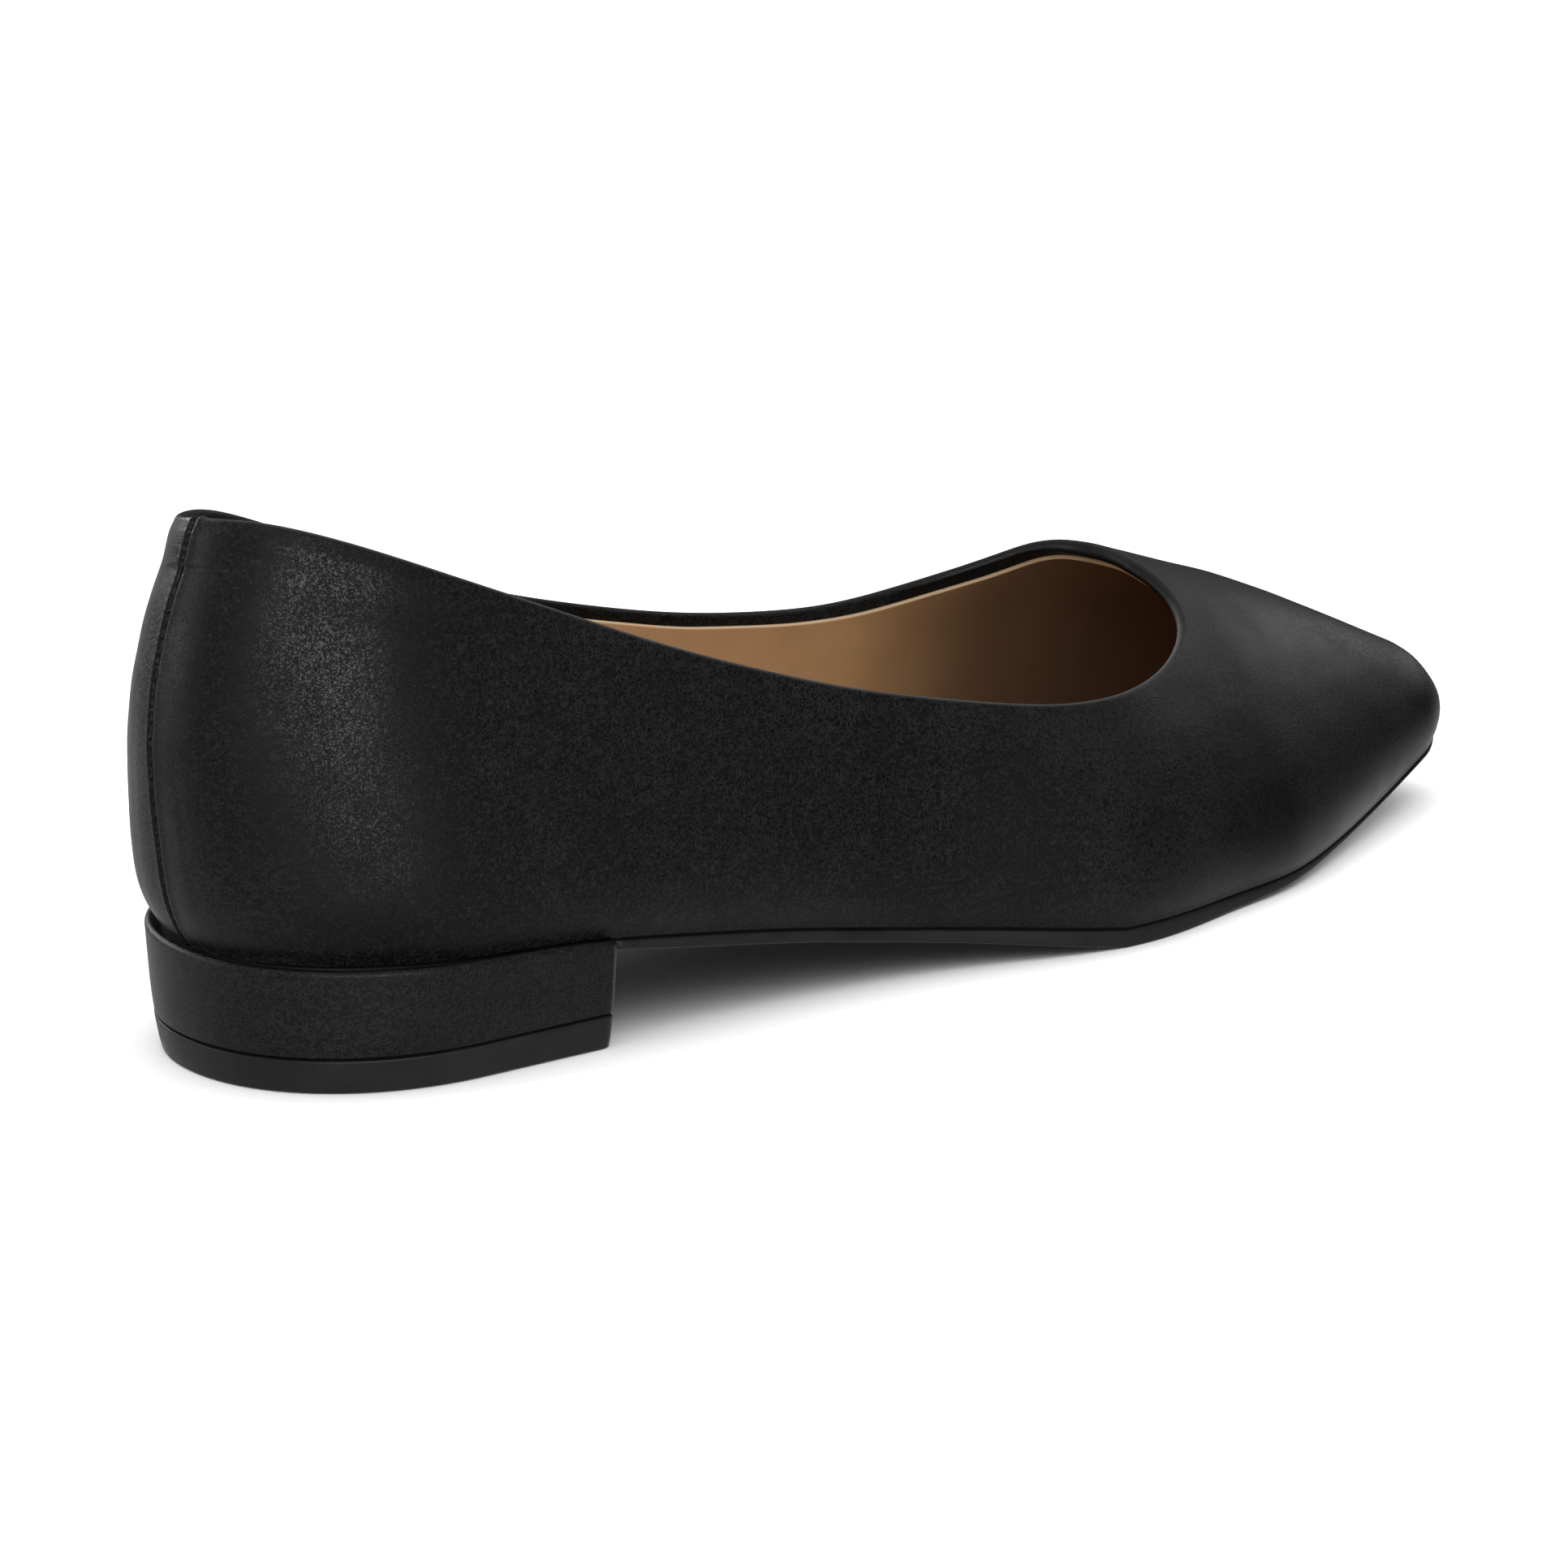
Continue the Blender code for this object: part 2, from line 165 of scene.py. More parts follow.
Plan = namedtuple("Plan", "along half swing")
PLAN = (
    Plan(0.00, 0.486 * HEEL_WIDTH, 0.00),
    Plan(0.11, 0.488 * HEEL_WIDTH, 0.00),
    Plan(0.235, 0.498 * HEEL_WIDTH, 0.00),
    Plan(0.375, 0.485 * HEEL_WIDTH, -0.10),
    Plan(0.495, 0.420 * BALL_WIDTH, -0.15),
    Plan(0.627, 0.490 * BALL_WIDTH, -0.25),
    Plan(0.718, 0.431 * BALL_WIDTH, -0.12),
    Plan(0.77, 0.392 * BALL_WIDTH, -0.08),
    Plan(0.818, 0.336 * BALL_WIDTH, 0.14),
    Plan(0.909, 0.811 * TOE_WIDTH, 0.64),
    Plan(1.00, 0.360 * TOE_WIDTH, 1.10),
)
SoleLine = namedtuple("SoleLine", "along rise")
SOLE_LINE = (
    SoleLine(0.00, 1.000),
    SoleLine(0.06, 0.998),
    SoleLine(0.13, 0.968),
    SoleLine(0.20, 0.903),
    SoleLine(0.23, 0.850),
    SoleLine(0.27, 0.760),
    SoleLine(0.37, 0.545),
    SoleLine(0.43, 0.400),
    SoleLine(0.52, 0.196),
    SoleLine(0.57, 0.082),
    SoleLine(0.607, 0.000),
)
SoleThick = namedtuple("SoleThick", "along share")
SOLE_THICK = (
    SoleThick(0.00, 0.40),
    SoleThick(0.19, 0.42),
    SoleThick(0.23, 0.52),
    SoleThick(0.27, 0.63),
    SoleThick(0.35, 0.69),
    SoleThick(0.43, 0.70),
    SoleThick(0.50, 0.78),
    SoleThick(0.57, 0.93),
    SoleThick(0.62, 1.00),
    SoleThick(0.66, 0.96),
    SoleThick(0.75, 0.60),
    SoleThick(0.84, 0.26),
    SoleThick(1.00, 0.24),
)
Crest = namedtuple("Crest", "along height inward outer inner")
CRESTS = (
    Crest(0.00, 1.000 * LAST_CREST, 0.00, 2.35, 2.35),
    Crest(0.245, 0.948 * LAST_CREST, 0.02, 2.30, 2.35),
    Crest(0.445, 0.758 * LAST_CREST, 0.08, 2.10, 2.50),
    Crest(0.595, 1.345 * INSTEP_CREST, 0.13, 1.85, 2.70),
    Crest(0.738, 1.039 * INSTEP_CREST, 0.13, 1.75, 2.70),
    Crest(0.818, 0.873 * INSTEP_CREST, 0.09, 1.80, 2.50),
    Crest(0.909, 0.587 * INSTEP_CREST, 0.03, 1.95, 2.20),
    Crest(1.00, 1.00 * TOE_CREST, 0.00, 2.10, 2.10),
)
Top = namedtuple("Top", "around height")
TOPS = (
    Top(0.00, 1.005),
    Top(0.05, 1.014),
    Top(0.10, 0.982),
    Top(0.17, 0.888),
    Top(0.24, 0.778),
    Top(0.32, 0.674),
    Top(0.40, 0.601),
    Top(0.49, 0.554),
    Top(0.58, 0.532),
    Top(0.66, 0.533),
    Top(0.72, 0.549),
    Top(0.78, 0.582),
    Top(0.83, 0.624),
    Top(0.88, 0.666),
    Top(0.93, 0.698),
    Top(1.00, 0.726),
    Top(1.07, 0.735),
    Top(1.13, 0.736),
    Top(1.17, 0.731),
    Top(1.22, 0.717),
    Top(1.28, 0.682),
    Top(1.34, 0.636),
    Top(1.42, 0.593),
    Top(1.50, 0.590),
    Top(1.60, 0.607),
    Top(1.68, 0.650),
    Top(1.76, 0.742),
    Top(1.83, 0.854),
    Top(1.90, 0.944),
    Top(1.95, 0.974),
    Top(2.00, 1.005),
)
BackCurve = namedtuple("BackCurve", "up back")
BACK_CURVE = (
    BackCurve(0.00, 0.000),
    BackCurve(0.25, 0.050),
    BackCurve(0.50, 0.088),
    BackCurve(0.75, 0.056),
    BackCurve(1.00, -0.035),
)
HeelPlan = namedtuple("HeelPlan", "up back width")
HEEL_PLAN = (
    HeelPlan(0 * MM, -0.7 * MM, 0.993 * HEEL_WIDTH),
    HeelPlan(5.5 * MM, -1.6 * MM, 1.028 * HEEL_WIDTH),
    HeelPlan(13 * MM, -2.2 * MM, 1.053 * HEEL_WIDTH),
    HeelPlan(21 * MM, -2.6 * MM, 1.072 * HEEL_WIDTH),
)
Lip = namedtuple("Lip", "away high wide")
LIPS = (
    Lip(-1.1 * MM, 0.20 * MM, 0.6 * MM),
    Lip(0.8 * MM, 0.12 * MM, 0.4 * MM),
)

# Lines of the wall: where they start to fan out and what they head for, and how close they lie
LEAVE = 0.415 * LENGTH
PIVOT = LENGTH - VAMP - 25 * MM
FAN = 9 * MM
CLOSE = 6.5 * MM
AROUND = 186
FINE_UP = 160
HEEL_AROUND = 80
BREAST_ACROSS = 14

# Shape functions

def spline(xs, ys):
    """Natural cubic curve through the points."""
    xs, ys = np.array(xs, float), np.array(ys, float)
    count = len(xs)
    step = np.diff(xs)
    matrix = np.eye(count)
    right = np.zeros(count)
    for i in range(1, count - 1):
        matrix[i, i - 1 : i + 2] = step[i - 1], 2 * (step[i - 1] + step[i]), step[i]
        right[i] = 6 * ((ys[i + 1] - ys[i]) / step[i] - (ys[i] - ys[i - 1]) / step[i - 1])
    bend = np.linalg.solve(matrix, right)

    def value(x):
        i = np.clip(np.searchsorted(xs, x) - 1, 0, count - 2)
        size, left, rest = step[i], x - xs[i], xs[i + 1] - x
        cubic = (bend[i] * rest**3 + bend[i + 1] * left**3) / (6 * size)
        start = (ys[i] / size - bend[i] * size / 6) * rest
        end = (ys[i + 1] / size - bend[i + 1] * size / 6) * left
        return cubic + start + end

    return value


def column(rows, key, name):
    """Curve through one column of a table, read by another."""
    return spline([getattr(row, key) for row in rows], [getattr(row, name) for row in rows])


half_at = column(PLAN, "along", "half")
swing_at = column(PLAN, "along", "swing")
rise_at = column(SOLE_LINE, "along", "rise")
thick_at = column(SOLE_THICK, "along", "share")
crest_at = column(CRESTS, "along", "height")
inward_at = column(CRESTS, "along", "inward")
outer_power = column(CRESTS, "along", "outer")
inner_power = column(CRESTS, "along", "inner")
top_at = column(TOPS, "around", "height")
back_at = column(BACK_CURVE, "up", "back")
heel_back_at = column(HEEL_PLAN, "up", "back")
heel_width_at = column(HEEL_PLAN, "up", "width")


def smooth(value):
    """Soft step from 0 to 1."""
    value = np.clip(value, 0, 1)
    return value * value * (3 - 2 * value)


def ends(x):
    """Rounds the plan off at the seat and at the tip."""
    back = np.clip(1 - x / HEEL_ROUND, 0, 1)
    front = np.clip(1 - (LENGTH - x) / TOE_ROUND, 0, 1)
    return ((1 - back**2) * (1 - front**2)) ** 0.5


def half(x):
    """Half the width of the feather edge."""
    return half_at(x / LENGTH) * ends(x)


def middle(x):
    """Middle line of the plan, which leans inwards at the toe."""
    return swing_at(np.clip(x / LENGTH, 0, 1)) * TOE_SWING


def ridge(x):
    """Highest line of the last in the plan."""
    return middle(x) + inward_at(x / LENGTH) * BALL_WIDTH * ends(x)


def sole_bottom(x):
    """Height of the sole's underside: the arch, the flat at the ball and the toe spring."""
    along = np.clip(x / LENGTH, 0, 1)
    arch = np.maximum(0, rise_at(np.minimum(along, FLAT_START))) * HEEL_HEIGHT
    toe = np.clip((along - FLAT_END) / (1 - FLAT_END), 0, 1) ** 2 * TOE_SPRING
    return np.where(along < FLAT_START, arch, 0) + toe


def feather(x):
    """Height of the feather edge, on top of the sole."""
    return sole_bottom(x) + SOLE * thick_at(np.clip(x / LENGTH, 0, 1))


def over_sole(x):
    """Height of the feather edge with its corner at the ball rounded off, for the form above it."""
    corner = FLAT_START * LENGTH
    slope = sole_bottom(corner - MM) / MM
    return feather(x) + slope * SOFT * np.log1p(np.exp(-np.abs(x - corner) / SOFT))


def crest(x):
    """Height of the last's highest line over the feather edge."""
    nose = np.clip(1 - (LENGTH - x) / TOE_ROUND, 0, 1)
    return crest_at(x / LENGTH) * (1 - nose**2.4) ** (1 / 2.4)


def height(x, y):
    """Surface of the last over a point of the plan."""
    top = ridge(x)
    outer = y < top
    edge = middle(x) + np.where(outer, -1, 1) * half(x)
    reach = np.where(np.abs(edge - top) < 1e-9, 1e-9, edge - top)
    power = np.where(outer, outer_power(x / LENGTH), inner_power(x / LENGTH))
    share = (1 - np.clip((y - top) / reach, 0, 1) ** power) ** (1 / SECTION_POWER)
    return feather(x) + (over_sole(x) - feather(x) + crest(x)) * share


def dress(points):
    """Bulges the wall over the feather edge and curves the back."""
    x, y, z = points[..., 0], points[..., 1], points[..., 2]
    up = z - feather(x)
    part = up / BULGE_UP
    out = BULGE * part * np.exp(1 - part)
    side = np.clip((y - middle(x)) / np.maximum(half(x), 1e-6), -1, 1)
    share = np.clip(up / BACK_HEIGHT, 0, 1.2)
    curve = back_at(share) * BACK_HEIGHT * np.clip(1 - x / (0.36 * LENGTH), 0, 1) ** 2
    seat = np.clip(1 - x / HEEL_ROUND, 0, 1)
    tip = np.clip(1 - (LENGTH - x) / TOE_ROUND, 0, 1)
    return np.stack([x - curve + out * (0.7 * tip**2 - seat**2), y + out * side, z], -1)


def even(points, count):
    """The line again with evenly spaced points."""
    run = np.r_[0, np.cumsum(np.linalg.norm(np.diff(points, axis=0), axis=1))]
    at = np.linspace(0, run[-1], count)
    return np.stack([np.interp(at, run, points[:, k]) for k in range(points.shape[1])], -1)


def edge_at(shares):
    """Places of the feather edge on one side: x and the distance from the middle, at shares of its
    length from the back."""
    x = LENGTH * (1 - np.cos(np.linspace(0, pi, 4001))) / 2
    points = np.stack([x, half(x)], -1)
    run = np.r_[0, np.cumsum(np.linalg.norm(np.diff(points, axis=0), axis=1))]
    x = np.interp(np.asarray(shares) * run[-1], run, x)
    return np.stack([x, half(x)], -1)


def feather_edge(count):
    """Even places of the whole feather edge on one side."""
    return edge_at(np.linspace(0, 1, count))


def inner_end(x, around, side):
    """Where the wall's line that starts at x on one side heads for: the lines fan out round the toe."""
    part = np.clip((x - LEAVE) / (LENGTH - LEAVE), 0, 1)
    span = PIVOT - LEAVE
    end = np.where(x < LEAVE, x, LEAVE + span * (1 - (1 - part) ** ((LENGTH - LEAVE) / span)))
    return end, ridge(end) + side * FAN * part * np.sin(pi / 2 * np.clip((1 - around) / 0.25, 0, 1))


def wall_line(start, foot, side, around, count):
    """One line of the upper's outside, from the feather edge to the topline."""
    end_x, end_y = inner_end(start, around, side)
    tall = top_at(around if side < 0 else 2 - around) * BACK_HEIGHT

    def run(share):
        x = start + (end_x - start) * share
        y = foot + (end_y - foot) * share
        if around > 0:
            return x, y, height(x, y)
        back = (1 - (1 - share) ** outer_power(0.0)) ** (1 / SECTION_POWER)
        return x, y, feather(x) + crest(x) * back

    share = np.linspace(0, 1, 1500) ** 3
    x, y, z = run(share)
    over = z - over_sole(x) - tall
    k = np.nonzero(over >= 0)[0][0]
    stop = share[k - 1] + (share[k] - share[k - 1]) * over[k - 1] / (over[k - 1] - over[k])
    return even(dress(np.stack(run(np.linspace(0, 1, 900) ** 3 * stop), -1)), count)


def wall_grid(edge, arounds, count):
    """Outside of the upper for the given places of the feather edge: the outer side, then the inner."""
    sides = {}
    for side in (-1, 1):
        sides[side] = np.array([
            wall_line(x, middle(x) + side * w, side, around, count)
            for (x, w), around in zip(edge, arounds)
        ])
    return sides


def normals(grid):
    """Outward normals of a wall whose first axis runs round the shoe and second goes up."""
    along = np.roll(grid, -1, axis=0) - np.roll(grid, 1, axis=0)
    cross = np.cross(along, np.gradient(grid, axis=1))
    return cross / np.linalg.norm(cross, axis=-1, keepdims=True)


class Wall:
    """The upper's outside as lines that can be read at any place, with their normals. whole_wall adds
    its roll, the black band inside it and how far it turns under, one value for each line."""

    def __init__(self, grid):
        self.grid = grid
        self.normal = normals(grid)
        self.length = np.linalg.norm(np.diff(grid, axis=1), axis=2).sum(axis=1)
        self.steps = grid.shape[1] - 1

    def read(self, array, place):
        """Values of an array of the wall at a distance up each line from the feather edge."""
        at = np.clip(place / self.length, 0, 1) * self.steps
        low = np.minimum(at.astype(int), self.steps - 1)
        part = (at - low)[:, None]
        lines = np.arange(len(at))
        return array[lines, low] * (1 - part) + array[lines, low + 1] * part

    def at(self, place, out=0.0):
        """Points at a distance up each line, moved out of the surface."""
        place = np.broadcast_to(place, self.length.shape)
        out = np.broadcast_to(out, self.length.shape)[:, None]
        return self.read(self.grid, place) + self.read(self.normal, place) * out


def noise(points, size, seed):
    """Smooth waves that never repeat over the shoe, between about -1 and 1."""
    rng = np.random.default_rng(seed)
    total = np.zeros(points.shape[:-1])
    for _ in range(7):
        way = rng.normal(size=3)
        way /= np.linalg.norm(way)
        total += np.sin(points @ way * (2 * pi / size) * rng.uniform(0.7, 1.4) + rng.uniform(0, 2 * pi))
    return total / 3.5


# Mesh helpers

def place(points):
    """From the shape functions' x into the frame."""
    return np.asarray(points, float) - np.array([HEEL_REST, 0, 0])


def shown(name, data):
    """A new object in the scene."""
    piece = bpy.data.objects.new(name, data)
    bpy.context.scene.collection.objects.link(piece)
    return piece


def mesh_piece(name, points, faces, values=None):
    """A smooth mesh piece, with one float attribute for each entry of values."""
    mesh = bpy.data.meshes.new(name)
    mesh.from_pydata(place(points).tolist(), [], faces)
    for key, numbers in (values or {}).items():
        mesh.attributes.new(key, "FLOAT", "POINT").data.foreach_set("value", np.ravel(numbers))
    mesh.shade_smooth()
    return shown(name, mesh)


def closed(piece):
    """A closed piece with its doubles merged and its faces pointed outwards."""
    work = bmesh.new()
    work.from_mesh(piece.data)
    bmesh.ops.remove_doubles(work, verts=work.verts, dist=MERGE)
    bmesh.ops.dissolve_degenerate(work, edges=work.edges, dist=MERGE / 10)
    bmesh.ops.recalc_face_normals(work, faces=work.faces)
    work.to_mesh(piece.data)
    work.free()
    piece.data.shade_smooth()
    return piece


def ring_faces(rows, count):
    """Faces between closed rings, each with count points."""
    faces = []
    for low in range(0, (rows - 1) * count, count):
        high = low + count
        for i in range(count):
            j = (i + 1) % count
            faces.append((low + i, low + j, high + j, high + i))
    return faces


def ring_piece(name, rows, values=None):
    """A piece from closed rings, each an array of the same number of points."""
    rows = np.array(rows)
    return mesh_piece(name, rows.reshape(-1, 3), ring_faces(len(rows), rows.shape[1]), values)


def plan_ring(line, level):
    """A closed ring from one side's plan line (x, distance from the middle) and a height."""
    x, away = line[:, 0], line[:, 1]
    sides = [np.stack([x, middle(x) + side * away, level(x)], -1) for side in (-1, 1)]
    return np.concatenate([sides[0], sides[1][::-1]])


def drawn_in(ring, share):
    """A ring drawn in towards the middle line of the heel, to close a flat face."""
    return ring * [1, share, 1]


def flat(z):
    """A level plane, as a height function."""
    return lambda x: np.full_like(x, z)


def under_vamp(points):
    """How far under the vamp the points are, from 0 to 1: the light hardly gets there, and painted shade
    darkens the lining and insole by it.
    """
    return smooth((points[..., 0] - DARK_FROM) / DARK_OVER)


def inset_line(line, amount):
    """Moves one side's plan line towards the inside."""
    along = np.gradient(line, axis=0)
    along[0] = 0, 1
    if line[-1, 1] < 1e-6:
        along[-1] = 0, -1
    turn = np.stack([along[:, 1], -along[:, 0]], -1)
    moved = line + turn / np.linalg.norm(turn, axis=1, keepdims=True) * amount
    moved[0, 1] = 0
    if line[-1, 1] < 1e-6:
        moved[-1, 1] = 0
    return moved


def finish_piece(piece, packed, look):
    """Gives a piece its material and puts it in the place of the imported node."""
    piece.data.materials.append(look)
    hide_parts(packed)
    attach(piece, "root")
    return piece


# Materials

def new_look(name):
    """A new material, its tree and its main shader."""
    look = bpy.data.materials.new(name)
    look.use_nodes = True
    tree = look.node_tree
    return look, tree, tree.nodes["Principled BSDF"]


def node(tree, kind, **settings):
    """A new node; the settings are values of its sockets or of its own."""
    made = tree.nodes.new(kind)
    for key, value in settings.items():
        if key in made.inputs.keys():
            made.inputs[key].default_value = value
        else:
            setattr(made, key, value)
    return made


def object_place(tree):
    """The place on the piece, in metres of the frame."""
    return node(tree, "ShaderNodeTexCoord").outputs["Object"]


def ramp(tree, source, low, high, start=0.0, end=1.0):
    """Maps a value from one range to another, held at both ends."""
    made = node(tree, "ShaderNodeMapRange")
    made.inputs["From Min"].default_value = low
    made.inputs["From Max"].default_value = high
    made.inputs["To Min"].default_value = start
    made.inputs["To Max"].default_value = end
    tree.links.new(source, made.inputs["Value"])
    return made.outputs["Result"]


def math(tree, operation, first, second):
    """One operation on two numbers or sockets."""
    made = node(tree, "ShaderNodeMath", operation=operation)
    for socket, value in zip(made.inputs, (first, second)):
        if isinstance(value, (int, float)):
            socket.default_value = value
        else:
            tree.links.new(value, socket)
    return made.outputs[0]


def mix_colour(tree, factor, first, second):
    """Mix of two colours or sockets."""
    made = node(tree, "ShaderNodeMix", data_type="RGBA")
    tree.links.new(factor, made.inputs["Factor"])
    for socket, value in ((made.inputs[6], first), (made.inputs[7], second)):
        if isinstance(value, tuple):
            socket.default_value = (*value, 1)
        else:
            tree.links.new(value, socket)
    return made.outputs[2]


def wrinkle_lines(tree, vector, size):
    """Thin winding lines about one size apart: 1 on a line, 0 away from it."""
    folds = node(tree, "ShaderNodeTexNoise", Scale=1 / size, Detail=2.0, Roughness=0.55)
    tree.links.new(vector, folds.inputs["Vector"])
    away = math(tree, "ABSOLUTE", math(tree, "SUBTRACT", folds.outputs["Fac"], 0.5), 0.0)
    return ramp(tree, away, 0.0, 0.045, 1.0, 0.0)


def puckers(tree, parts):
    """Small gathers along the seam up the back, fading out beside it and away from the back."""
    beside = ramp(tree, math(tree, "ABSOLUTE", parts.outputs["Y"], 0.0), 0.0006, 0.0022, 1.0, 0.0)
    back = ramp(tree, parts.outputs["X"], -0.022, -0.012, 1.0, 0.0)
    phase = math(tree, "MULTIPLY", parts.outputs["Z"], 2 * pi / (0.6 * STITCH_PITCH))
    wave = math(tree, "MULTIPLY", math(tree, "SINE", phase, 0.0), 0.5)
    return math(tree, "MULTIPLY", wave, math(tree, "MULTIPLY", beside, back))


def black_leather(name, grain=0.82 * MM, depth=0.13 * MM, roughness=0.41, smooth_toe=True):
    """Smooth black leather: fine wrinkles that fade towards the toe, with painted glints, a soft, uneven
    shine, and with smooth_toe a painted highlight on the collar's roll.
    """
    look, tree, shader = new_look(name)
    shader.inputs["Specular IOR Level"].default_value = 0.078
    vector = object_place(tree)
    warp = node(tree, "ShaderNodeTexNoise", Scale=0.9 / grain, Detail=3.0, Roughness=0.6)
    blotch = node(tree, "ShaderNodeTexNoise", Scale=60.0, Detail=4.0, Roughness=0.6)
    shifted = node(tree, "ShaderNodeVectorMath", operation="MULTIPLY_ADD")
    shifted.inputs[1].default_value = (grain * 0.8,) * 3
    for texture in (warp, blotch):
        tree.links.new(vector, texture.inputs["Vector"])
    tree.links.new(warp.outputs["Color"], shifted.inputs[0])
    tree.links.new(vector, shifted.inputs[2])
    wide = wrinkle_lines(tree, shifted.outputs["Vector"], grain)
    close = wrinkle_lines(tree, shifted.outputs["Vector"], 0.55 * grain)
    lines = math(tree, "MAXIMUM", wide, math(tree, "MULTIPLY", close, 0.65))
    strength = ramp(tree, blotch.outputs["Fac"], 0.35, 0.65, 0.6, 1.0)
    heights = math(tree, "MULTIPLY", lines, -1.0)
    if smooth_toe:
        parts = node(tree, "ShaderNodeSeparateXYZ")
        tree.links.new(vector, parts.inputs["Vector"])
        towards_toe = ramp(tree, parts.outputs["X"], 0.09, 0.16, 1.0, 0.25)
        strength = math(tree, "MULTIPLY", strength, towards_toe)
        heights = math(tree, "ADD", heights, puckers(tree, parts))
    bump = node(tree, "ShaderNodeBump", Distance=depth)
    tree.links.new(strength, bump.inputs["Strength"])
    tree.links.new(heights, bump.inputs["Height"])
    tree.links.new(bump.outputs["Normal"], shader.inputs["Normal"])
    shine = ramp(tree, blotch.outputs["Fac"], 0.3, 0.7, roughness - 0.04, roughness + 0.05)
    tree.links.new(shine, shader.inputs["Roughness"])
    # Painted glints: the wrinkle lines are coloured a little lighter, as where light catches them
    wrinkle_glint = math(tree, "MULTIPLY", wide, strength)
    colour = mix_colour(tree, wrinkle_glint, BLACK, BLACK_GLINT)
    # Painted highlight: a paler black along the crest of the collar's roll
    if smooth_toe:
        roll_highlight = node(tree, "ShaderNodeAttribute", attribute_name="roll_highlight")
        colour = mix_colour(tree, roll_highlight.outputs["Fac"], colour, BLACK_ROLL_HIGHLIGHT)
    tree.links.new(colour, shader.inputs["Base Color"])
    return look


def tan_leather(name):
    """Lining leather: warm tan with faint mottling and fine pores, a paler cut edge, and painted shade
    under the vamp.
    """
    look, tree, shader = new_look(name)
    shader.inputs["Specular IOR Level"].default_value = 0.25
    vector = object_place(tree)
    mottle = node(tree, "ShaderNodeTexNoise", Scale=90.0, Detail=5.0, Roughness=0.6)
    pores = node(tree, "ShaderNodeTexNoise", Scale=1600.0, Detail=3.0, Roughness=0.6)
    for texture in (mottle, pores):
        tree.links.new(vector, texture.inputs["Vector"])
    colour = mix_colour(tree, ramp(tree, mottle.outputs["Fac"], 0.3, 0.7), TAN, TAN_PALE)
    # Painted shade: the lining and insole darken under the vamp
    painted_shade = node(tree, "ShaderNodeAttribute", attribute_name="under_vamp")
    colour = mix_colour(tree, painted_shade.outputs["Fac"], colour, TAN_PAINTED_SHADE)
    edge = node(tree, "ShaderNodeAttribute", attribute_name="cut_edge")
    colour = mix_colour(tree, edge.outputs["Fac"], colour, TAN_CUT)
    tree.links.new(colour, shader.inputs["Base Color"])
    bump = node(tree, "ShaderNodeBump", Strength=0.5, Distance=0.04 * MM)
    tree.links.new(pores.outputs["Fac"], bump.inputs["Height"])
    tree.links.new(bump.outputs["Normal"], shader.inputs["Normal"])
    tree.links.new(ramp(tree, mottle.outputs["Fac"], 0.3, 0.7, 0.50, 0.60), shader.inputs["Roughness"])
    return look


def black_rubber(name, roughness, grain):
    """Moulded rubber: near black, with a fine tooth and faint scuffs in its shine."""
    look, tree, shader = new_look(name)
    shader.inputs["Specular IOR Level"].default_value = 0.07
    vector = object_place(tree)
    tooth = node(tree, "ShaderNodeTexNoise", Scale=1 / grain, Detail=4.0, Roughness=0.65)
    scuff = node(tree, "ShaderNodeTexNoise", Scale=120.0, Detail=5.0, Roughness=0.7)
    for texture in (tooth, scuff):
        tree.links.new(vector, texture.inputs["Vector"])
    bump = node(tree, "ShaderNodeBump", Strength=0.6, Distance=0.05 * MM)
    tree.links.new(tooth.outputs["Fac"], bump.inputs["Height"])
    tree.links.new(bump.outputs["Normal"], shader.inputs["Normal"])
    shine = ramp(tree, scuff.outputs["Fac"], 0.35, 0.7, roughness - 0.06, roughness + 0.1)
    tree.links.new(shine, shader.inputs["Roughness"])
    worn = ramp(tree, scuff.outputs["Fac"], 0.4, 0.75)
    colour = mix_colour(tree, worn, RUBBER, RUBBER_WORN)
    tree.links.new(colour, shader.inputs["Base Color"])
    return look


def thread_look(name):
    """Black thread with a faint twist of fibres."""
    look, tree, shader = new_look(name)
    shader.inputs["Specular IOR Level"].default_value = 0.1
    vector = object_place(tree)
    fibres = node(tree, "ShaderNodeTexNoise", Scale=2500.0, Detail=2.0)
    tree.links.new(vector, fibres.inputs["Vector"])
    bump = node(tree, "ShaderNodeBump", Strength=0.6, Distance=0.03 * MM)
    tree.links.new(fibres.outputs["Fac"], bump.inputs["Height"])
    tree.links.new(bump.outputs["Normal"], shader.inputs["Normal"])
    colour = mix_colour(tree, fibres.outputs["Fac"], THREAD, THREAD_PALE)
    tree.links.new(colour, shader.inputs["Base Color"])
    shader.inputs["Roughness"].default_value = 0.55
    return look


leather = black_leather("black_leather")
heel_leather = black_leather(
    "heel_leather", grain=0.8 * MM, depth=0.04 * MM, roughness=0.42, smooth_toe=False
)
lining_leather = tan_leather("tan_leather")
sole_rubber = black_rubber("sole_rubber", 0.55, 0.5 * MM)
lift_rubber = black_rubber("lift_rubber", 0.48, 0.35 * MM)
thread = thread_look("black_thread")


# The upper's outside

def seam(points):
    """The joint down the back: a sunk line between two soft lips, the outer one fuller."""
    x, y = points[..., 0], points[..., 1]
    lips = sum(lip.high * np.exp(-(((y - lip.away) / lip.wide) ** 2)) for lip in LIPS)
    return np.where(x < SEAM_END, lips - SEAM_DEEP * np.exp(-((y / SEAM_WIDE) ** 2)), 0)


